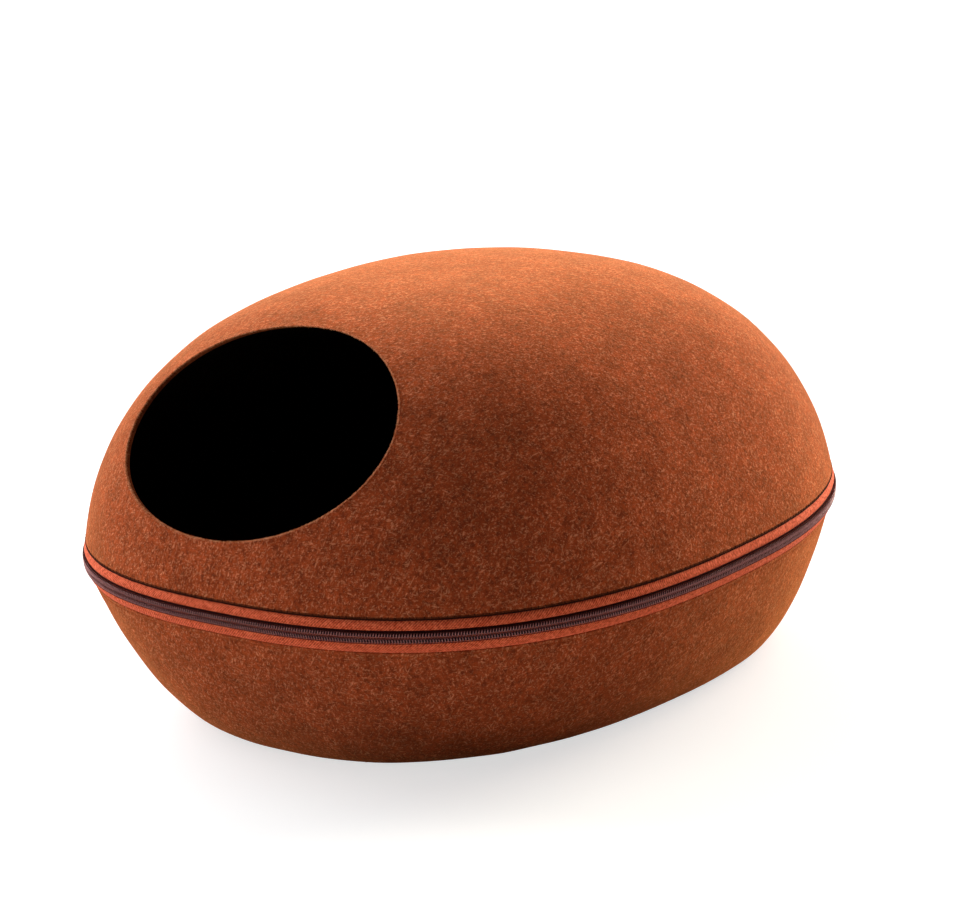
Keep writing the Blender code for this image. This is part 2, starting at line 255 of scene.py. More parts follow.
def unevenness(points):
    """A smooth wander of about -1 to 1, for pressed felt that isn't perfectly even."""
    waves = np.sin((points @ WAVE_DIRECTIONS.T) * WAVE_NUMBERS + WAVE_PHASES)
    return waves.mean(axis=-1) * 2.2


# ---------------------------------------------------------------- meshes

def add_piece(name, vertices, faces, materials, slot, face_materials=None, uvs=None, smooth=True):
    """A piece from its points and faces, which rides on the bed."""
    mesh = bpy.data.meshes.new(name)
    faces = [tuple(face) for face in faces]
    mesh.from_pydata(np.asarray(vertices).tolist(), [], faces)
    for material in materials:
        mesh.materials.append(material)
    if face_materials is not None:
        mesh.polygons.foreach_set("material_index", np.asarray(face_materials, dtype=np.int32))
    if uvs is not None:
        mesh.uv_layers.new(name="weave").data.foreach_set("uv", np.asarray(uvs, dtype=np.float32).ravel())
    if smooth:
        mesh.shade_smooth()
    mesh.update()
    piece = add_object(name, mesh)
    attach(piece, BODY)
    return piece


def grid_faces(rows, columns, joined_rows, start=0):
    """Quads over a grid of points, with its columns closed into a ring, and its rows too if joined."""
    row = np.arange(rows if joined_rows else rows - 1)
    near, across = np.meshgrid(row, np.arange(columns), indexing="ij")
    far = (near + 1) % rows
    after = (across + 1) % columns
    quads = np.stack([near * columns + across, near * columns + after,
                      far * columns + after, far * columns + across], axis=-1)
    return quads.reshape(-1, 4) + start


def tube_mesh(path, radii, sides, reference, start=0, closed=False):
    """A round tube along a path. reference gives a direction across the path at each of its points."""
    if closed:
        tangents = np.roll(path, -1, axis=0) - np.roll(path, 1, axis=0)
    else:
        tangents = np.gradient(path, axis=0)
    tangents = unit(tangents)
    across = reference - (reference * tangents).sum(axis=1, keepdims=True) * tangents
    across = unit(across)
    other = np.cross(tangents, across)
    turns = np.arange(sides) * TAU / sides
    radii = np.broadcast_to(np.asarray(radii, dtype=float), (len(path),))[:, None, None]
    ring = across[:, None] * np.cos(turns)[None, :, None] + other[:, None] * np.sin(turns)[None, :, None]
    points = (path[:, None] + ring * radii).reshape(-1, 3)
    faces = grid_faces(len(path), sides, closed, start).tolist()
    if not closed:
        last = start + (len(path) - 1) * sides
        faces.append(tuple(range(start + sides - 1, start - 1, -1)))
        faces.append(tuple(range(last, last + sides)))
    return points, faces


def join_meshes(parts):
    """One mesh from several, each given as a function of the number of its first point."""
    vertices, faces, start = [], [], 0
    for part in parts:
        points, more = part(start)
        vertices.append(points)
        faces.extend(more)
        start += len(points)
    return np.concatenate(vertices), faces


# ---------------------------------------------------------------- materials

class Graph:
    """The nodes of one material or world, with short ways to make them and join them up."""

    def __init__(self, owner):
        owner.use_nodes = True
        self.tree = owner.node_tree

    def put(self, socket, value):
        """Link an output to a socket, or set the socket's own value."""
        if isinstance(value, bpy.types.NodeSocket):
            self.tree.links.new(value, socket)
        elif isinstance(value, tuple) and len(value) < len(socket.default_value):
            socket.default_value = (*value, 1.0)
        else:
            socket.default_value = value

    def add(self, kind, inputs=(), **settings):
        made = self.tree.nodes.new(kind)
        for key, value in settings.items():
            setattr(made, key, value)
        for key, value in dict(inputs).items():
            self.put(made.inputs[key], value)
        return made

    def math(self, operation, *values, clamp=False):
        return self.add("ShaderNodeMath", enumerate(values), operation=operation, use_clamp=clamp).outputs[0]

    def mix(self, factor, first, second, blend="MIX"):
        inputs = {0: factor, 6: first, 7: second}
        return self.add("ShaderNodeMix", inputs, data_type="RGBA", blend_type=blend).outputs[2]

    def ramp(self, value, stops):
        """A smooth ramp over (place, shade) stops. A shade is a grey or a colour."""
        made = self.add("ShaderNodeValToRGB", {0: value})
        elements = made.color_ramp.elements
        while len(elements) < len(stops):
            elements.new(0.5)
        for element, (place, shade) in zip(elements, stops):
            element.position = place
            element.color = (*shade, 1.0) if isinstance(shade, tuple) else (shade, shade, shade, 1.0)
        return made.outputs[0]

    def place(self):
        """The point on the piece, in metres."""
        return self.add("ShaderNodeTexCoord").outputs["Object"]

    def noise(self, place, scale, detail=2.0):
        inputs = {"Vector": place, "Scale": scale, "Detail": detail}
        return self.add("ShaderNodeTexNoise", inputs, noise_dimensions="3D").outputs["Fac"]

    def wave(self, distance, period):
        return self.math("SINE", self.math("MULTIPLY", distance, TAU / period))

    def strands(self, place, length, width, seed):
        """Fibre-like streaks that lie every way: the largest of several stretched noises."""
        streaks = None
        for index, turn in enumerate(STRAND_TURNS):
            offset = (seed + 3.1 * index, seed * 0.7 + index, 5.3 * index)
            turned = self.add("ShaderNodeMapping", {"Vector": place, "Location": offset, "Rotation": turn})
            stretch = (1.0 / length, 1.0 / width, 1.0 / width)
            stretched = self.add("ShaderNodeMapping", {"Vector": turned.outputs[0], "Scale": stretch})
            value = self.noise(stretched.outputs[0], 1.0, 1.0)
            streaks = value if streaks is None else self.math("MAXIMUM", streaks, value)
        return streaks

    def shade(self, inputs, height=None, strength=0.0, distance=0.0):
        """Give the shader its inputs, and its bump from a height."""
        shader = self.tree.nodes["Principled BSDF"]
        for key, value in inputs.items():
            self.put(shader.inputs[key], value)
        if height is not None:
            bump = self.add("ShaderNodeBump", {"Strength": strength, "Distance": distance, "Height": height})
            self.put(shader.inputs["Normal"], bump.outputs[0])


STRAND_TURNS = ((0.3, 0.2, 0.4), (1.1, 0.6, 1.9), (-0.7, 1.2, 2.7), (0.5, -1.0, 0.9), (1.7, 0.3, -0.8))
FELT_SHEEN_TINT = (1.0, 0.40, 0.11)
FIBRE_SHEEN_TINT = (1.0, 0.44, 0.16)
TAPE_SHEEN_TINT = (1.0, 0.45, 0.25)
NYLON_SPECULAR_TINT = (1.0, 0.60, 0.60)
RIB_PERIOD = 0.0017
WARP_PERIOD = 0.00042
WEFT_PERIOD = 0.00055


def new_material(name):
    material = bpy.data.materials.new(name)
    return material, Graph(material)


def felt_material(name, dark, middle, light, sheen):
    """Needled felt of mixed fibres: a mottled dark ground, rust streaks, and light tufts and hairs on top."""
    material, graph = new_material(name)
    place = graph.place()
    ground = graph.strands(place, 0.0046, 0.0021, 2.0)
    tufts = graph.strands(place, 0.0042, 0.0013, 9.0)
    hairs = graph.strands(place, 0.0026, 0.00042, 5.0)
    mottled = graph.math("MULTIPLY_ADD", graph.noise(place, 300.0), 0.45, ground)
    ground_share = graph.ramp(mottled, ((0.68, 0.0), (1.02, 1.0)))
    tuft_share = graph.ramp(tufts, ((0.625, 0.0), (0.76, 1.0)))
    hair_share = graph.ramp(hairs, ((0.66, 0.0), (0.78, 1.0)))
    light_share = graph.math("MULTIPLY", tuft_share, 0.56)
    light_share = graph.math("MULTIPLY_ADD", hair_share, 0.30, light_share, clamp=True)
    colour = graph.mix(light_share, graph.mix(ground_share, dark, middle), light)
    cloud = graph.ramp(graph.noise(place, 60.0, 4.0), ((0.30, 0.81), (0.70, 1.17)))
    height = graph.math("MULTIPLY_ADD", hairs, 0.35, graph.math("ADD", tufts, ground))
    graph.shade({"Base Color": graph.mix(1.0, colour, cloud, "MULTIPLY"),
                 "Roughness": graph.ramp(tufts, ((0.4, 0.98), (0.8, 0.82))),
                 "Specular IOR Level": 0.03, "Sheen Weight": sheen, "Sheen Roughness": 0.42,
                 "Sheen Tint": FELT_SHEEN_TINT}, height, 0.50, 0.0007)
    return material


def fibre_material(name, shades, sheen=0.22):
    """Loose fibres whose colour changes from one to the next."""
    material, graph = new_material(name)
    stops = [(0.30 + 0.40 * index / (len(shades) - 1), shade) for index, shade in enumerate(shades)]
    graph.shade({"Base Color": graph.ramp(graph.noise(graph.place(), 420.0, 1.0), stops), "Roughness": 0.8,
                 "Specular IOR Level": 0.06, "Sheen Weight": sheen, "Sheen Tint": FIBRE_SHEEN_TINT})
    return material


def tape_material():
    """Woven tape: diagonal ribs of twill over fine threads, with painted shade: its colour is darker in the relief's
    grooves and lighter on its ribs, plus random blotches of tone.
    """
    material, graph = new_material("coral_twill")
    uv = graph.add("ShaderNodeUVMap", uv_map="weave").outputs["UV"]
    parts = graph.add("ShaderNodeSeparateXYZ", {0: uv})
    along, across = parts.outputs[0], parts.outputs[1]
    ribs = graph.wave(graph.math("SUBTRACT", along, across), RIB_PERIOD)
    threads = graph.math("MULTIPLY", graph.wave(across, WARP_PERIOD), graph.wave(along, WEFT_PERIOD))
    relief = graph.math("MULTIPLY_ADD", threads, 0.5, ribs)
    blotch = graph.math("SUBTRACT", graph.noise(graph.place(), 650.0), 0.5)
    # The colour follows the relief, painted shade in the weave's grooves, plus a random blotch of tone.
    shade = graph.math("MULTIPLY_ADD", blotch, 1.5, graph.math("MULTIPLY_ADD", relief, 0.26, 0.5))
    colour = graph.ramp(shade, ((0.10, (0.42, 0.046, 0.018)), (0.5, (0.82, 0.120, 0.047)),
                                (0.90, (0.99, 0.235, 0.105))))
    graph.shade({"Base Color": colour, "Roughness": graph.ramp(shade, ((0.2, 0.92), (0.8, 0.70))),
                 "Specular IOR Level": 0.08, "Sheen Weight": 0.06, "Sheen Tint": TAPE_SHEEN_TINT},
                relief, 0.6, 0.00018)
    return material


def smooth_material(name, dark, light, roughness, scale, **inputs):
    """A smooth material with slight wear: two near colours, uneven roughness and faint dents."""
    material, graph = new_material(name)
    value = graph.noise(graph.place(), scale, 3.0)
    graph.shade({"Base Color": graph.ramp(value, ((0.3, dark), (0.7, light))),
                 "Roughness": graph.ramp(value, ((0.3, roughness + 0.12), (0.7, roughness))),
                 **{key.replace("_", " "): setting for key, setting in inputs.items()}}, value, 0.4, 0.00003)
    return material


def thread_material(name, dark, light):
    """Sewing thread with its twist."""
    material, graph = new_material(name)
    value = graph.strands(graph.place(), 0.0012, 0.00022, 4.0)
    graph.shade({"Base Color": graph.ramp(value, ((0.5, dark), (0.75, light))), "Roughness": 0.85,
                 "Specular IOR Level": 0.02}, value, 0.5, 0.0001)
    return material


FELT = felt_material("rust_felt", (0.18, 0.028, 0.009), (0.42, 0.066, 0.0175), (0.82, 0.305, 0.145), 0.38)
# The cut-edge felt is painted shade: a darker copy of the felt on the entrance's cut face, which faces the shaded
# inside.
FELT_CUT_SHADE = felt_material("rust_felt_cut_edge_painted_shade", (0.15, 0.028, 0.009), (0.26, 0.052, 0.016), (0.42, 0.12, 0.05), 0.1)
# The sewn-edge felt is painted shade: a darker copy of the felt round the dome's lower edge, for the dark line
# between felt and tape.
FELT_SEWN_SHADE = felt_material("felt_sewn_edge_painted_shade", (0.06, 0.013, 0.005), (0.12, 0.025, 0.009), (0.22, 0.06, 0.02),
                          0.1)
# The inside felt is painted shade: a near-black copy of the felt on the dome's and tray's inner faces and on the
# tapes' backs.
FELT_INSIDE_SHADE = felt_material("felt_inside_painted_shade", (0.010, 0.006, 0.005), (0.022, 0.012, 0.008), (0.05, 0.028, 0.02),
                            0.0)
FIBRES = fibre_material("rust_fibres", ((0.18, 0.030, 0.010), (0.46, 0.092, 0.028), (0.80, 0.34, 0.18)))
# The entrance fibres are real loose fibres, but paler than the felt's other fibres: painted highlight, the lit fuzzy
# line along the entrance's edge.
EDGE_FIBRES_HIGHLIGHT = fibre_material("pale_fibres_painted_highlight", ((0.58, 0.15, 0.05), (0.88, 0.44, 0.23)), 0.5)
TAPE = tape_material()
NYLON = smooth_material("aubergine_nylon", (0.200, 0.050, 0.047), (0.44, 0.160, 0.150), 0.17, 900.0,
                        Specular_IOR_Level=0.9, Specular_Tint=NYLON_SPECULAR_TINT)
# The core is near-black, far darker than the nylon: a real cord whose colour paints the shade in the gaps between
# the coil's turns.
CORE = thread_material("aubergine_core_painted_shade", (0.006, 0.0025, 0.0025), (0.018, 0.006, 0.006))
# The coil thread is near-black: real thread that also paints the shade along the coil's upper side.
COIL_THREAD = thread_material("aubergine_thread_and_painted_shade", (0.022, 0.005, 0.005), (0.070, 0.016, 0.014))
# The seam thread is near-black: real stitching that also paints the shade line under the dome's edge.
SEAM_THREAD_AND_SHADE = thread_material("umber_seam_thread_and_painted_shade", (0.020, 0.005, 0.003), (0.060, 0.014, 0.007))
TRAY_THREAD = thread_material("rust_seam_thread", (0.30, 0.060, 0.016), (0.52, 0.12, 0.035))
METAL = smooth_material("dark_bronze", (0.060, 0.045, 0.038), (0.12, 0.092, 0.078), 0.30, 700.0, Metallic=1.0)


# ---------------------------------------------------------------- dome

UP_AXIS = np.array([math.sin(ENTRANCE_TILT), 0.0, math.cos(ENTRANCE_TILT)])
OUT_AXIS = np.array([-math.cos(ENTRANCE_TILT), 0.0, math.sin(ENTRANCE_TILT)])


def disc_point(disc, depth):
    """Points of the dome from its flattened disc, which has the crown at its middle and the edge at 1."""
    radius = np.hypot(disc[..., 0], disc[..., 1])
    angles = np.mod(np.arctan2(disc[..., 1], disc[..., 0]), TAU)
    slope = math.pi / 2.0 - radius * (math.pi / 2.0 - DOME_SPRING_ANGLE)
    return dome_point(angles, slope, depth)


def entrance_test(points):
    """Below 0 inside the entrance's cut, and above 0 outside it."""
    sideways = (points[..., 1] - ENTRANCE_CENTRE_Y) / ENTRANCE_HALF_WIDTH
    upward = (points @ UP_AXIS - ENTRANCE_CENTRE_HEIGHT) / ENTRANCE_HALF_HEIGHT
    inside = sideways ** 2 + upward ** 2 - 1.0
    return np.where(points @ OUT_AXIS > 0.05, inside, 1.0)


def entrance_middle():
    """The place on the disc where the entrance's middle line leaves the dome."""
    radii, angles = np.meshgrid(np.linspace(0.05, 0.98, 200), np.linspace(0.6, 1.4, 200) * math.pi)
    disc = np.stack([radii * np.cos(angles), radii * np.sin(angles)], axis=-1)
    return disc.reshape(-1, 2)[np.argmin(entrance_test(disc_point(disc, 0.0)))]


def entrance_radius(middle, rays, depth):
    """How far along each ray from the middle the entrance's edge lies."""
    near = np.zeros(len(rays))
    far = ray_reach(middle, rays, 1.0) * 0.999
    for _ in range(44):
        half = (near + far) / 2.0
        outside = entrance_test(disc_point(middle + half[:, None] * rays, depth)) > 0.0
        far = np.where(outside, half, far)
        near = np.where(outside, near, half)
    return (near + far) / 2.0


def ray_reach(middle, rays, radius):
    """How far each ray from the middle runs to a circle of the disc."""
    along = rays @ middle
    return -along + np.sqrt(along ** 2 + radius ** 2 - middle @ middle)


def arc_rows(start, control, end, count):
    """Rows of points round a corner, from start to end."""
    shares = np.linspace(0.0, 1.0, count)[:, None, None]
    return (1.0 - shares) ** 2 * start + 2.0 * shares * (1.0 - shares) * control + shares ** 2 * end


ROUNDING = 0.0007
CUT_ROUNDING = 0.0006
ENTRANCE_FIRST_STEP = 0.0011
SEAM_LINE = 0.0027
SEAM_DENT = 0.00028
SEAM_DENT_WIDTH = 0.0009
UNEVENNESS = 0.00026
INSIDE_UNEVENNESS = 0.0002
LEVEL_TOP = 0.012
LEVEL_HEIGHTS = np.array([0.0095, 0.0075, 0.0060, 0.0050, 0.0042, 0.0036, 0.0031, 0.0027, 0.0023, 0.0018, 0.0012])
INSIDE_HEIGHTS = (0.002, 0.004, 0.0055, 0.0075, 0.0095, 0.0115)
OUTSIDE, INSIDE, CUT, SEWN = range(4)


def seam_groove(distance):
    """Depth of the dent that the stitches pull into the felt."""
    return SEAM_DENT * np.exp(-((distance - SEAM_LINE) / SEAM_DENT_WIDTH) ** 2)


def sewn_edge(row):
    """Rows round a sewn edge, from its outer face to its inner. row gives points at a distance and a depth."""
    inner = SEAM_FELT_THICKNESS
    outer_corner = arc_rows(row(ROUNDING, 0.0), row(0.0, 0.0), row(0.0, ROUNDING), 4)
    inner_corner = arc_rows(row(0.0, inner - ROUNDING), row(0.0, inner), row(ROUNDING, inner), 4)
    return [*outer_corner, *inner_corner]


def make_dome():
    """The dome, in rings that change from the entrance's outline to the level sewn edge."""
    middle = entrance_middle()
    turns = np.arange(DOME_COLUMNS) * TAU / DOME_COLUMNS
    rays = np.stack([np.cos(turns), np.sin(turns)], axis=1)

    def level_reach(height):
        radius = (math.pi / 2.0 - dome_slope(height)) / (math.pi / 2.0 - DOME_SPRING_ANGLE)
        return ray_reach(middle, rays, float(radius))

    def on_ray(reach):
        return middle + reach[:, None] * rays

    def row(height, depth):
        return disc_point(on_ray(level_reach(height)), depth)

    outer_hole = entrance_radius(middle, rays, 0.0)
    inner_hole = entrance_radius(middle, rays, FELT_THICKNESS)
    full_reach = level_reach(LEVEL_TOP)
    samples = np.linspace(0.0, 1.0, 60)
    path = np.stack([disc_point(on_ray(outer_hole + (full_reach - outer_hole) * share), 0.0) for share in samples])
    lengths = np.linalg.norm(np.diff(path, axis=0), axis=2).sum(axis=0)

    def face_rows(hole, count, depth, uneven):
        rows = []
        start = ENTRANCE_FIRST_STEP / lengths
        for share in np.linspace(0.0, 1.0, count):
            place = start + (1.0 - start) * share ** 1.12
            disc = on_ray(hole + (full_reach - hole) * place)
            fade = np.clip(place * lengths / 0.012, 0.0, 1.0)
            rows.append(disc_point(disc, depth - uneven * fade * unevenness(disc_point(disc, depth))))
        return rows

    outer = face_rows(outer_hole, 58, 0.0, UNEVENNESS)
    for height in LEVEL_HEIGHTS:
        fade = min(1.0, max(0.0, (height - 0.003) / 0.008))
        outer.append(row(height, -UNEVENNESS * fade * unevenness(row(height, 0.0))))
    edge = sewn_edge(row)
    inner = [row(height, felt_thickness(height)) for height in INSIDE_HEIGHTS]
    inner.extend(reversed(face_rows(inner_hole, 22, FELT_THICKNESS, INSIDE_UNEVENNESS)[:-1]))

    outer_edge = disc_point(on_ray(outer_hole), 0.0)
    inner_edge = disc_point(on_ray(inner_hole), FELT_THICKNESS)
    through = inner_edge - outer_edge
    wall = unit(through)
    away_outer = outer[0] - outer_edge
    away_outer = unit(away_outer)
    away_inner = inner[-1] - inner_edge
    away_inner = unit(away_inner)
    cut_inner = arc_rows(inner_edge + CUT_ROUNDING * away_inner, inner_edge, inner_edge - CUT_ROUNDING * wall, 3)
    cut_outer = arc_rows(outer_edge + CUT_ROUNDING * wall, outer_edge, outer_edge + CUT_ROUNDING * away_outer, 4)
    cut_middle = [(cut_inner[-1] * (1.0 - share) + cut_outer[0] * share) for share in (0.33, 0.67)]
    cut = [*cut_inner, *cut_middle, *cut_outer]

    points = np.stack([*outer, *edge, *inner, *cut])
    faces = grid_faces(len(points), DOME_COLUMNS, True)
    kinds = np.full(len(points), OUTSIDE)
    edge_start = len(outer)
    inner_start = edge_start + len(edge)
    cut_start = inner_start + len(inner)
    # The dome's sewn edge takes the darker felt, painted shade along its lower edge.
    kinds[edge_start - 1:inner_start] = SEWN
    # The dome's inner face takes the near-black felt, painted shade.
    kinds[inner_start:cut_start + 1] = INSIDE
    # The entrance's cut face takes the darker felt, painted shade.
    kinds[cut_start + 1:cut_start + len(cut) - 2] = CUT
    piece = add_piece("dome_felt", points.reshape(-1, 3), faces, (FELT, FELT_INSIDE_SHADE, FELT_CUT_SHADE, FELT_SEWN_SHADE), "felt",
                      np.repeat(kinds, DOME_COLUMNS))
    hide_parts("dome_shell")
    return piece, points[:len(outer)], outer_edge, wall, away_outer


# ---------------------------------------------------------------- tray

def make_tray():
    """The tray, in rings from the middle of its floor over the sewn edge to the middle of its underside."""
    angles = angle_at(np.arange(TRAY_COLUMNS) * RIM_LENGTH / TRAY_COLUMNS)

    def row(distance, depth):
        return tray_point(angles, np.full(TRAY_COLUMNS, tray_fall(distance)), depth)

    outer = [row(distance, seam_groove(distance)) for distance in reversed(LEVEL_HEIGHTS)]
    for fall in np.linspace(tray_fall(LEVEL_TOP), 1.0, 46):
        points = tray_point(angles, fall, 0.0)
        fade = min(1.0, (fall - tray_fall(0.003)) / 0.04) * min(1.0, (1.0 - fall) / 0.12)
        outer.append(tray_point(angles, fall, -UNEVENNESS * fade * unevenness(points)))
    base = look_up(BASE_TABLE, angles)
    middle = np.array([BASE_REARWARD, 0.0])
    shrinks = (0.985, 0.95, 0.88, 0.76, 0.60, 0.42, 0.24, 0.10)
    under = [join_height(middle + (base - middle) * shrink, 0.0) for shrink in shrinks]
    inner_base = base - FELT_THICKNESS * look_up(BASE_NORMALS, angles)
    floor = [join_height(middle + (inner_base - middle) * shrink, FELT_THICKNESS) for shrink in shrinks]
    inner = [row(distance, felt_thickness(distance)) for distance in INSIDE_HEIGHTS]
    for fall in np.linspace(tray_fall(0.014), 1.0, 22):
        inner.append(tray_point(angles, fall, FELT_THICKNESS))
    edge = sewn_edge(row)
    rows = [*reversed(floor), *reversed(inner), *reversed(edge), *outer, *under]
    points = np.stack(rows)
    faces = grid_faces(len(rows), TRAY_COLUMNS, False).tolist()
    inside_rows = len(floor) + len(inner)
    kinds = np.full(len(rows) - 1, OUTSIDE)
    # The tray's inner face and floor take the near-black felt, painted shade.
    kinds[:inside_rows] = INSIDE
    face_kinds = np.repeat(kinds, TRAY_COLUMNS).tolist()
    vertices = [*points.reshape(-1, 3)]
    last = (len(rows) - 1) * TRAY_COLUMNS
    for start, height, kind in ((0, FELT_THICKNESS, INSIDE), (last, 0.0, OUTSIDE)):
        pole = len(vertices)
        vertices.append(np.array([*middle, height]))
        for column in range(TRAY_COLUMNS):
            pair = (start + column, start + (column + 1) % TRAY_COLUMNS)
            faces.append((*pair[::-1], pole) if kind == INSIDE else (*pair, pole))
            face_kinds.append(kind)
    piece = add_piece("tray_felt", np.array(vertices), faces, (FELT, FELT_INSIDE_SHADE), "felt", face_kinds)
    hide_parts("tray_shell")
    outer_start = inside_rows + len(edge)
    return piece, points[outer_start:outer_start + len(outer)]


# ---------------------------------------------------------------- fibres

FIBRE_RING = 3
FIBRE_FACES = np.array([(0, 2, 1), (0, 3, 2), (0, 1, 3), (4, 1, 2), (4, 2, 3), (4, 3, 1)])
FIBRE_SUNK = 0.00006
BOLD_FIBRES = 0.14
LIFTED_FIBRES = 0.16


def scatter(rows, count, random):
    """Random places on a grid of points, even by area, with the surface's normals."""
    corner = rows[:-1]
    down = rows[1:] - corner
    across = np.roll(rows, -1, axis=1)[:-1] - corner
    cross = np.cross(across, down)
    area = np.linalg.norm(cross, axis=2)
    chosen = random.choice(area.size, count, p=(area / area.sum()).ravel())
    row, column = np.unravel_index(chosen, area.shape)
    share_down, share_across = random.random((2, count, 1))
    places = corner[row, column] + share_down * down[row, column] + share_across * across[row, column]
    normals = cross[row, column] / area[row, column][:, None]
    return places, normals


def add_fibres(name, material, random, places, normals, lengths, radii, bows, lifts):
    """Slim spindles with a kink at their middle. A bow raises the middle, and a lift raises the far end.

    None goes below the surface that the bed stands on.
    """
    count = len(places)
    tangents = random.normal(size=(count, 3))
    tangents -= (tangents * normals).sum(axis=1, keepdims=True) * normals
    tangents = unit(tangents)
    sides = np.cross(normals, tangents)
    half = lengths[:, None] / 2.0
    start = places - tangents * half - normals * FIBRE_SUNK
    end = places + tangents * half + normals * (lifts[:, None] - FIBRE_SUNK)
    swing = random.normal(size=(count, 1)) * lengths[:, None] * 0.10
    middle = places + sides * swing + normals * (bows[:, None] + lifts[:, None] * 0.35)
    turns = np.arange(FIBRE_RING) * TAU / FIBRE_RING
    ring = sides[:, None] * np.cos(turns)[None, :, None] + normals[:, None] * np.sin(turns)[None, :, None]
    ring = middle[:, None] + ring * radii[:, None, None]
    points = np.concatenate([start[:, None], ring, end[:, None]], axis=1).reshape(-1, 3)
    faces = (np.arange(count)[:, None, None] * (FIBRE_RING + 2) + FIBRE_FACES).reshape(-1, 3)
    points[:, 2] = np.maximum(points[:, 2], 0.0)
    return add_piece(name, points, faces, (material,), "felt", smooth=False)


def make_fibres(name, rows, count, seed):
    """Loose fibres over a felt face."""
    random = np.random.default_rng(seed)
    places, normals = scatter(rows, count, random)
    lengths = random.uniform(0.0014, 0.0040, count)
    radii = random.uniform(0.00004, 0.00010, count)
    bold = random.random(count) < BOLD_FIBRES
    lengths = np.where(bold, lengths * 1.4, lengths)
    radii = np.where(bold, radii * 1.7, radii)
    bows = random.uniform(0.00006, 0.00030, count)
    lifts = np.where(random.random(count) < LIFTED_FIBRES, random.uniform(0.0004, 0.0013, count), 0.0)
    return add_fibres(name, FIBRES, random, places, normals, lengths, radii, bows, lifts)


def make_entrance_fibres(edge, wall, away, count, seed):
    """Short fibres that stand out of the entrance's outer corner."""
    random = np.random.default_rng(seed)
    chosen = random.integers(0, len(edge), count)
    share = random.random((count, 1))
    places = edge[chosen] * (1.0 - share) + edge[(chosen + 1) % len(edge)] * share
    inward = random.uniform(0.0, 0.0009, (count, 1))
    outward = random.uniform(0.0, 0.0008, (count, 1))
    on_wall = random.random((count, 1)) < 0.5
    places = places + np.where(on_wall, inward * wall[chosen], outward * away[chosen])
    normals = -(wall[chosen] + away[chosen]) + random.normal(size=(count, 3)) * 0.25
    normals = unit(normals)
    places = places - normals * 0.00014
    lengths = random.uniform(0.0008, 0.0024, count)
    radii = random.uniform(0.00005, 0.00012, count)
    bows = random.uniform(0.0002, 0.0005, count)
    lifts = random.uniform(0.0, 0.0008, count)
    # Their pale colour is painted highlight along the entrance's edge.
    return add_fibres("entrance_fibres", EDGE_FIBRES_HIGHLIGHT, random, places, normals, lengths, radii, bows, lifts)


# ---------------------------------------------------------------- zip

UPWARD = np.array([0.0, 0.0, 1.0])
TAPE_THICKNESS = 0.0009
TAPE_CLEARANCE = 0.0001
TAPE_CLOSED_EDGE = 0.00003
NECK_NOTCH = (0.00062, 0.0015, 0.0015)
TAPE_BEHIND_COIL = ((-0.0016, 0.0016), (-0.0016, 0.0027))
TAPE_SHOULDER = np.array([-0.0015, 0.0037])
TURN_LENGTH = 0.0016
TURN_STEPS = 10
FILAMENT_RADIUS = 0.00028
COIL_HEAD = -0.00004
COIL_HEEL = 0.00322
COIL_HALF_DEPTH = 0.00098
COIL_SET_IN = 0.00038
LOWER_COIL_TILT = 0.16
CORE_HEIGHT = 0.00170
CORE_COLUMNS = 620
STITCH_PITCH = 0.0040
STITCH_RADIUS = 0.00024
EDGE_CORD_COLUMNS = 1400


def make_tape(name, side, edge_inset, edge_distance, lap_point, cover, bulge):
    """A tape, from behind its row of coil out to the strip sewn behind the felt.

    cover keeps it over the felt's edge, and the notch at the rear end leaves room for the slider's neck.
    """
    angles = angle_at(np.arange(TAPE_COLUMNS) * RIM_LENGTH / TAPE_COLUMNS)
    hidden = SEAM_FELT_THICKNESS + TAPE_CLEARANCE
    end_place = np.array([-edge_inset - cover, edge_distance - TAPE_CLEARANCE])
    inner_edge = np.full(TAPE_COLUMNS, TAPE_CLOSED_EDGE)
    inner_edge[[-2, -1, 0]] = NECK_NOTCH
    places = [(TAPE_BEHIND_COIL[0][0], inner_edge), *TAPE_BEHIND_COIL]
    for share in np.linspace(0.0, 1.0, 8):
        outward, away = TAPE_SHOULDER + (end_place - TAPE_SHOULDER) * share
        places.append((outward + bulge * TAPE_BULGE * abs(math.sin(math.pi * share)) ** 0.8, away))
    outer = [band_point(angles, outward, side * away) for outward, away in places]
    inner = [band_point(angles, outward - TAPE_THICKNESS, side * away) for outward, away in places]
    for distance in (0.0, TAPE_LAP / 2.0, TAPE_LAP):
        outer.append(lap_point(angles, distance, hidden))
        inner.append(lap_point(angles, distance, hidden + TAPE_THICKNESS))
    section = np.stack(outer)[:, TAPE_COLUMNS // 3]
    across = np.concatenate([[0.0], np.cumsum(np.linalg.norm(np.diff(section, axis=0), axis=1))])
    rows = [*outer, *inner[::-1]]
    row_across = np.concatenate([across, across[::-1]]) * side
    faces = grid_faces(len(rows), TAPE_COLUMNS, True)
    row, column = np.meshgrid(np.arange(len(rows)), np.arange(TAPE_COLUMNS), indexing="ij")
    along = np.stack([column, column + 1, column + 1, column], axis=-1) * RIM_LENGTH / TAPE_COLUMNS
    next_row = (row + 1) % len(rows)
    uvs = np.stack([along, row_across[np.stack([row, row, next_row, next_row], axis=-1)]], axis=-1).reshape(-1, 4, 2)
    if side < 0:
        faces, uvs = faces[:, ::-1], uvs[:, ::-1]
    # The tape's back takes the near-black felt, painted shade.
    kinds = np.repeat((np.arange(len(rows)) >= len(outer) - 1).astype(int), TAPE_COLUMNS)
    piece = add_piece(name, np.stack(rows).reshape(-1, 3), faces, (TAPE, FELT_INSIDE_SHADE), "zip_tape", kinds, uvs)
    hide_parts("zip_" + name)
    return piece


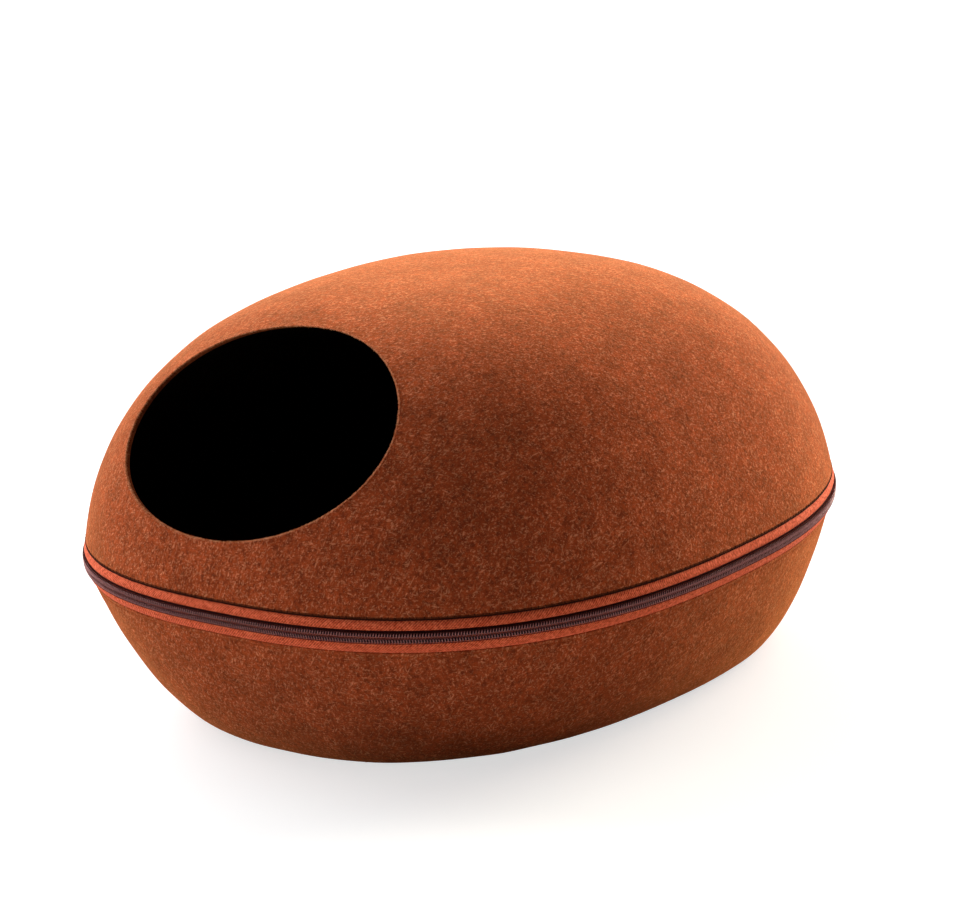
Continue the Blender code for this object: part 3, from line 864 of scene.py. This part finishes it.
def rim_frame(lengths):
    """Points of the zip line at lengths from the rear end, and the level directions out of the bed there."""
    angles = angle_at(lengths)
    outward = join_height(look_up(RIM_NORMALS, angles), 0.0)
    outward = unit(outward)
    return join_height(look_up(RIM_TABLE, angles), ZIP_HEIGHT), outward


def oval_tube(path, outward, half_depth, half_height, sides, start=0):
    """A tube of oval section that runs along the rim. Its half sizes may change along the path."""
    points, faces = tube_mesh(path, 1.0, sides, outward, start)
    offsets = points.reshape(len(path), sides, 3) - path[:, None]
    deep = (offsets * outward[:, None]).sum(axis=2, keepdims=True) * outward[:, None]
    points = path[:, None] + deep * half_depth + offsets[..., 2:3] * UPWARD * half_height
    return points.reshape(-1, 3), faces


def make_coil(name, side):
    """One row of the coil: a flattened helix of nylon whose heads reach between the other row's."""
    span = RIM_LENGTH - 2.0 * COIL_GAP_HALF
    turns = int(span / TURN_LENGTH) - 1
    steps = np.arange(turns * TURN_STEPS + 1) / TURN_STEPS
    phase = TAU * steps
    lengths = COIL_GAP_HALF + (0.25 if side > 0 else 0.75) * TURN_LENGTH + steps * span / (turns + 1)
    centre, outward = rim_frame(lengths)
    middle = (COIL_HEAD + COIL_HEEL) / 2.0
    half_width = (COIL_HEEL - COIL_HEAD) / 2.0 - FILAMENT_RADIUS
    across = -signed_power(np.cos(phase), 0.85) * half_width
    depth = signed_power(np.sin(phase), 0.80) * (COIL_HALF_DEPTH - FILAMENT_RADIUS)
    radial = across[:, None] * UPWARD * side + depth[:, None] * outward
    path = centre + side * middle * UPWARD - COIL_SET_IN * outward + radial
    if side < 0:
        path -= LOWER_COIL_TILT * (ZIP_HEIGHT - path[:, 2:3]) * outward
    piece = add_piece(name, *tube_mesh(path, FILAMENT_RADIUS, 5, radial), (NYLON,), "zip_coil")
    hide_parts("zip_" + name)


def make_core(name, side):
    """The cord that lies inside a row of coil."""
    gap = COIL_GAP_HALF + 0.0006
    centre, outward = rim_frame(np.linspace(gap, RIM_LENGTH - gap, CORE_COLUMNS))
    tilt = LOWER_COIL_TILT * CORE_HEIGHT if side < 0 else 0.0
    path = centre + UPWARD * side * CORE_HEIGHT - outward * (COIL_SET_IN + tilt)
    add_piece(name, *oval_tube(path, outward, 0.00030, 0.00095, 8), (CORE,), "zip_coil")


def make_coil_stitches(name, rows):
    """Lines of thread that hold a row of coil down. They are near-black, so they also paint shade beside the coil.
    Each is (upward, outward, half height, half depth).
    """
    count = int(RIM_LENGTH / TURN_LENGTH) * 3
    centre, outward = rim_frame(np.linspace(COIL_GAP_HALF, RIM_LENGTH - COIL_GAP_HALF, count))
    wave = np.cos(np.arange(count) * TAU / 3.0)[:, None]
    swell = 1.0 + 0.12 * wave[:, None]
    lines = []
    for upward, out, half_height, half_depth in rows:
        path = centre + UPWARD * upward + outward * (out + 0.00008 * wave)
        lines.append(partial(oval_tube, path, outward, half_depth * swell, half_height * swell, 5))
    add_piece(name, *join_meshes(lines), (COIL_THREAD,), "zip_coil")


def make_seam_stitches(name, surface_point, material, seed):
    """Stitches that lie in the groove along a felt edge. surface_point gives (place, outward)."""
    random = np.random.default_rng(seed)
    count = int(RIM_LENGTH / STITCH_PITCH)
    shares = np.linspace(-1.0, 1.0, 6)
    stitches = []
    for index in range(count):
        middle_length = (index + 0.5) * RIM_LENGTH / count + random.normal() * 0.00012
        lengths = middle_length + shares * STITCH_PITCH * 0.36
        places, outward = surface_point(lengths, SEAM_LINE + random.normal() * 0.00008)
        path = places + outward * (0.00016 - 0.00042 * shares ** 4)[:, None]
        stitches.append(partial(tube_mesh, path, STITCH_RADIUS * (1.0 - 0.35 * shares ** 4), 5, outward))
    return add_piece(name, *join_meshes(stitches), (material,), "felt")


def make_edge_stitches(name, seed):
    """Blanket stitches on the dome's lower edge: a thread in its corner with the tape, and short legs over it. The
    thread is real stitching, and its near-black colour and thickness also paint the shade line under the felt's
    edge.
    """
    random = np.random.default_rng(seed)
    lengths = np.arange(EDGE_CORD_COLUMNS) * RIM_LENGTH / EDGE_CORD_COLUMNS
    wander = np.sin(lengths * TAU / 0.031) + np.sin(lengths * TAU / 0.0131 + 1.0)
    cord = dome_point(angle_at(lengths), dome_slope(0.0), 0.00038)
    cord += UPWARD * (0.00004 * wander[:, None] - 0.00026)
    stitches = [partial(tube_mesh, cord, 0.00052, 6, rim_frame(lengths)[1], closed=True)]
    leg_heights = np.array([0.0, 0.0002, 0.0005, 0.0008, 0.0010, 0.0011])
    leg_depths = np.array([0.0004, 0.0, -0.00012, -0.00012, 0.0, 0.0005])
    for index in range(int(RIM_LENGTH / STITCH_PITCH)):
        length = np.full(6, index * STITCH_PITCH + random.normal() * 0.00015)
        length += np.linspace(0.0, random.normal() * 0.00030, 6)
        heights = leg_heights + random.uniform(0.0, 0.0004)
        path = dome_point(angle_at(length), dome_slope(heights), leg_depths)
        reference = np.tile(rim_frame(length[:1])[1], (6, 1)) + UPWARD * 0.3
        stitches.append(partial(tube_mesh, path, STITCH_RADIUS, 5, reference))
    return add_piece(name, *join_meshes(stitches), (SEAM_THREAD_AND_SHADE,), "felt")


def tray_seam_point(lengths, distance):
    """Places in the tray's seam groove, and the directions out of the felt there."""
    angles = angle_at(lengths)
    groove = float(seam_groove(distance))
    places = tray_point(angles, tray_fall(distance), groove)
    below = tray_point(angles, tray_fall(distance + 0.001), groove)
    level = rim_frame(lengths)[1]
    outward = np.cross(np.cross(level, UPWARD), below - places)
    outward = unit(outward)
    outward *= np.sign((outward * level).sum(axis=1, keepdims=True))
    return places, outward


# ---------------------------------------------------------------- slider

SHARP_ANGLE = math.radians(38.0)
PLATE_BEVEL = 0.00035
FLANGE_BEVEL = 0.00015
SLIDER_MIDDLE = 0.0030
BRIDGE_LENGTH = 0.0075
BRIDGE_FOOT = 0.0011
BRIDGE_SEAT = 0.0027
BRIDGE_RISE = 0.0026
BRIDGE_STEPS = 22
PULL_LENGTH = 0.026
PULL_THICKNESS = 0.0012
PULL_BEVEL = 0.0003
PULL_FRONT = 0.0034
PULL_PLAY = 0.0003
PULL_EYE_WALL = 0.0012
PULL_EYE_HALF_SIZE = (0.0019, 0.0014)
PULL_DISH = 0.00022
PULL_SLOPE = math.tan(math.radians(5.0))


def rounded_outline(corners, radius, steps=6):
    """A closed outline with its corners rounded, as rows of (along, upward)."""
    corners = [np.array(corner, dtype=float) for corner in corners]
    outline = []
    for index, corner in enumerate(corners):
        before = corners[index - 1] - corner
        after = corners[(index + 1) % len(corners)] - corner
        cut = min(radius, np.linalg.norm(before) * 0.48, np.linalg.norm(after) * 0.48)
        start = corner + before / np.linalg.norm(before) * cut
        end = corner + after / np.linalg.norm(after) * cut
        outline.append(arc_rows(start, corner, end, steps)[:, 0])
    return np.concatenate(outline)


def rear_points(plan, depth, height):
    """Points at the bed's rear end, a depth out from the rim."""
    return np.column_stack([np.full(len(plan), REAR_X + depth), plan[:, 0], ZIP_HEIGHT + height])


def plate_mesh(outline, back, front, bevel, start=0):
    """A plate with bevelled edges, over an outline at the bed's rear end."""
    middle = outline.mean(axis=0)
    reach = np.linalg.norm(outline - middle, axis=1, keepdims=True)
    inset = outline - (outline - middle) / reach * bevel
    layers = ((inset, back), (outline, back + bevel), (outline, front - bevel), (inset, front))
    points = np.concatenate([rear_points(plan, depth, plan[:, 1]) for plan, depth in layers])
    count = len(outline)
    faces = grid_faces(len(layers), count, False, start).tolist()
    faces.append(tuple(range(start + count - 1, start - 1, -1)))
    faces.append(tuple(range(start + 3 * count, start + 4 * count)))
    return points, faces


def bridge_mesh(start=0):
    """The slider's arched bridge, which the pull tab hangs on."""
    shares = np.linspace(0.0, 1.0, BRIDGE_STEPS)
    along = SLIDER_MIDDLE - 0.0032 * np.cos(math.pi * shares)
    lift = BRIDGE_RISE * np.sin(math.pi * shares) ** 0.55
    path = np.column_stack([REAR_X + BRIDGE_SEAT + lift, along, np.full(BRIDGE_STEPS, ZIP_HEIGHT)])
    points, faces = tube_mesh(path, 1.0, 8, np.tile(UPWARD, (BRIDGE_STEPS, 1)), start)
    offsets = points.reshape(BRIDGE_STEPS, 8, 3) - path[:, None]
    return (path[:, None] + offsets * (0.00050, 0.00050, 0.00105)).reshape(-1, 3), faces


def add_metal(name, points, faces):
    """A piece of the zip's metal, with crisp edges."""
    piece = add_piece(name, points, faces, (METAL,), "slider_metal")
    piece.data.set_sharp_from_angle(angle=SHARP_ANGLE)
    return piece


def make_slider():
    """The slider: a shield-shaped front plate, a back plate, side flanges, a neck and an arched bridge."""
    front_outline = rounded_outline(((-0.0032, -0.0044), (0.0020, -0.0047), (0.0091, -0.0036), (0.0091, 0.0036),
                                     (0.0020, 0.0047), (-0.0032, 0.0044)), 0.0016)
    back_outline = rounded_outline(((-0.0044, -0.0033), (0.0091, -0.0030), (0.0091, 0.0030), (-0.0044, 0.0033)),
                                   0.0012)
    upper_flange = rounded_outline(((-0.0031, 0.0038), (0.0020, 0.0041), (0.0090, 0.0031), (0.0090, 0.0036),
                                    (0.0020, 0.0047), (-0.0031, 0.0044)), 0.0005, 4)
    lower_flange = (upper_flange * np.array([1.0, -1.0]))[::-1]
    neck = rounded_outline(((-0.0031, -0.0010), (0.0002, -0.0009), (0.0002, 0.0009), (-0.0031, 0.0010)), 0.0005, 4)
    piece = add_metal("slider_body", *join_meshes((
        partial(plate_mesh, front_outline, 0.0017, 0.0031, PLATE_BEVEL),
        partial(plate_mesh, back_outline, -0.0046, -0.0032, PLATE_BEVEL),
        partial(plate_mesh, upper_flange, -0.0008, 0.0023, FLANGE_BEVEL),
        partial(plate_mesh, lower_flange, -0.0008, 0.0023, FLANGE_BEVEL),
        partial(plate_mesh, neck, -0.0034, 0.0020, FLANGE_BEVEL),
        bridge_mesh,
    )))
    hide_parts("zip_slider")


def make_pull():
    """The pull tab: a slim plate that widens to a round end, with an eye at its root and a raised rim."""
    root = SLIDER_MIDDLE + BRIDGE_LENGTH / 2.0 - BRIDGE_FOOT - PULL_PLAY - PULL_EYE_WALL
    tip = root + PULL_LENGTH
    wide = tip - 0.0030
    outline = rounded_outline(((root, -0.0026), (wide, -0.0036), (tip, -0.0034), (tip, 0.0034), (wide, 0.0036),
                               (root, 0.0026)), 0.0022, 12)
    eye_middle = np.array([root + PULL_EYE_WALL + 0.0020, 0.0])
    turns = np.arctan2(outline[:, 1] - eye_middle[1], outline[:, 0] - eye_middle[0])
    eye = eye_middle + np.stack([np.cos(turns), np.sin(turns)], axis=1) * PULL_EYE_HALF_SIZE

    def shrunk(share):
        return eye + (outline - eye) * share

    shoulder = PULL_THICKNESS - PULL_BEVEL
    dish = PULL_THICKNESS - PULL_DISH
    layers = ((eye, PULL_BEVEL), (shrunk(0.12), 0.0), (shrunk(0.90), 0.0), (outline, PULL_BEVEL),
              (outline, shoulder), (shrunk(0.93), PULL_THICKNESS), (shrunk(0.84), PULL_THICKNESS),
              (shrunk(0.80), dish), (shrunk(0.16), dish), (eye, shoulder))
    rows = [rear_points(plan, PULL_FRONT + depth, plan[:, 1] - PULL_SLOPE * (plan[:, 0] - root))
            for plan, depth in layers]
    piece = add_metal("pull_tab", np.concatenate(rows), grid_faces(len(rows), len(outline), True))
    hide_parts("zip_pull")


def make_end_stop():
    """The small clamp that closes the coils' far ends beside the slider."""
    outline = rounded_outline(((-0.0059, -0.0030), (-0.0034, -0.0030), (-0.0034, 0.0030), (-0.0059, 0.0030)), 0.0005)
    add_metal("zip_end_stop", *plate_mesh(outline, 0.0009, 0.0019, 0.0003))


# ---------------------------------------------------------------- the bed

# Lines of thread along each row of coil: upward, outward, half height and half depth
# The upper row's second, wider line is thread and painted shade: the dark band between the upper tape and the coil,
# which the lower row lacks.
UPPER_COIL_THREADS_AND_SHADE = ((0.00300, 0.00010, 0.00034, 0.00026), (0.00350, -0.00122, 0.00068, 0.00030))
LOWER_COIL_THREADS = ((-0.00308, -0.00038, 0.00024, 0.00022),)


def dome_lap(angles, distance, depth):
    """Places on the dome a distance up from its sewn edge."""
    return dome_point(angles, dome_slope(distance), depth)


def tray_lap(angles, distance, depth):
    """Places on the tray a distance down from its sewn edge."""
    return tray_point(angles, tray_fall(distance), depth)


dome, dome_rows, entrance_edge, entrance_wall, entrance_away = make_dome()
tray, tray_rows = make_tray()
dome_fibres = make_fibres("dome_fibres", dome_rows, 27000, 5)
tray_fibres = make_fibres("tray_fibres", tray_rows, 20000, 6)
entrance_fibres = make_entrance_fibres(entrance_edge, entrance_wall, entrance_away, 6400, 77)
tape_upper = make_tape("tape_upper", 1, DOME_EDGE_INSET, DOME_EDGE_RISE, dome_lap, 0.0012, 2.5)
tape_lower = make_tape("tape_lower", -1, TRAY_EDGE_INSET, TRAY_EDGE_DROP, tray_lap, 0.0003, 1.4)
make_coil("coil_upper", 1)
make_coil("coil_lower", -1)
make_core("coil_core_upper", 1)
make_core("coil_core_lower", -1)
make_coil_stitches("coil_stitches_upper", UPPER_COIL_THREADS_AND_SHADE)
make_coil_stitches("coil_stitches_lower", LOWER_COIL_THREADS)
dome_stitches = make_edge_stitches("dome_edge_stitches", 11)
tray_stitches = make_seam_stitches("tray_seam_stitches", tray_seam_point, TRAY_THREAD, 12)
make_slider()
make_pull()
make_end_stop()


# ---------------------------------------------------------------- stage

FLOOR_SHADE = 0.63
FLOOR_SEEN_SHADE = 0.55
FLOOR_LIFT = 0.65
FLOOR_MIRRORED = 2.0
FLOOR_REACH = 20.0
FLOOR_HEIGHT = -0.0003
SURROUND_MIRRORED = 0.22
SURROUND_FILL = 0.02

# Soft lights: turn from the camera's side towards the picture's right, height, width (degrees), strength and colour
WHITE = (1.0, 1.0, 1.0)
WARM_WHITE = (1.0, 0.90, 0.74)
SOFT_LIGHTS = {
    "tent_top": (0, 90, 70, 0.045, WHITE),
    "tent_back": (180, 15, 50, 0.838, WHITE),
    "tent_left": (-92, 4, 50, 0.600, WHITE),
    "tent_back_left": (-135, 30, 50, 1.100, WHITE),
    "tent_back_right": (135, 30, 50, 0.970, WARM_WHITE),
    "tent_low_right": (136, 5, 30, 1.330, WARM_WHITE),
}


def seen_ray(graph, mirrored):
    """1 for what the camera sees, mirrored for what a glossy surface sees, and 0 for light that falls on the bed."""
    rays = graph.add("ShaderNodeLightPath").outputs
    return graph.math("MAXIMUM", rays["Is Camera Ray"], graph.math("MULTIPLY", rays["Is Glossy Ray"], mirrored))


def make_floor():
    """A plain pale floor. The camera sees it evenly lifted, as a white sweep is."""
    material, graph = new_material("studio_white")
    seen = seen_ray(graph, FLOOR_MIRRORED)
    graph.shade({"Base Color": graph.mix(seen, (FLOOR_SHADE,) * 3, (FLOOR_SEEN_SHADE,) * 3), "Roughness": 1.0,
                 "Specular IOR Level": 0.0, "Emission Color": WHITE,
                 "Emission Strength": graph.math("MULTIPLY", seen, FLOOR_LIFT)})
    corners = [(x * FLOOR_REACH, y * FLOOR_REACH, FLOOR_HEIGHT) for x, y in ((-1, -1), (1, -1), (1, 1), (-1, 1))]
    mesh = bpy.data.meshes.new("studio_floor")
    mesh.from_pydata(corners, [], [(0, 1, 2, 3)])
    mesh.materials.append(material)
    floor = add_object("studio_floor", mesh)


def make_lights():
    """Large soft lights at the back and the sides, and a faint even fill."""
    for name, (turn, height, width, strength, colour) in SOFT_LIGHTS.items():
        data = bpy.data.lights.new(name, "SUN")
        data.energy = math.pi * strength
        data.angle = math.radians(width)
        data.color = colour
        lamp = add_object(name, data)
        lamp.rotation_mode = "QUATERNION"
        toward = direction(CAMERA_AZIMUTH + math.radians(turn), math.radians(height))
        lamp.rotation_quaternion = toward.to_track_quat("Z", "Y")
    world = bpy.data.worlds.new("studio_white_surround")
    bpy.context.scene.world = world
    graph = Graph(world)
    seen = seen_ray(graph, SURROUND_MIRRORED)
    background = graph.tree.nodes["Background"].inputs
    graph.put(background["Color"], WHITE)
    graph.put(background["Strength"], graph.math("MULTIPLY_ADD", seen, 1.0 - SURROUND_FILL, SURROUND_FILL))


make_floor()
make_lights()
bpy.context.scene.view_settings.view_transform = "Standard"
bpy.context.scene.view_settings.look = "None"
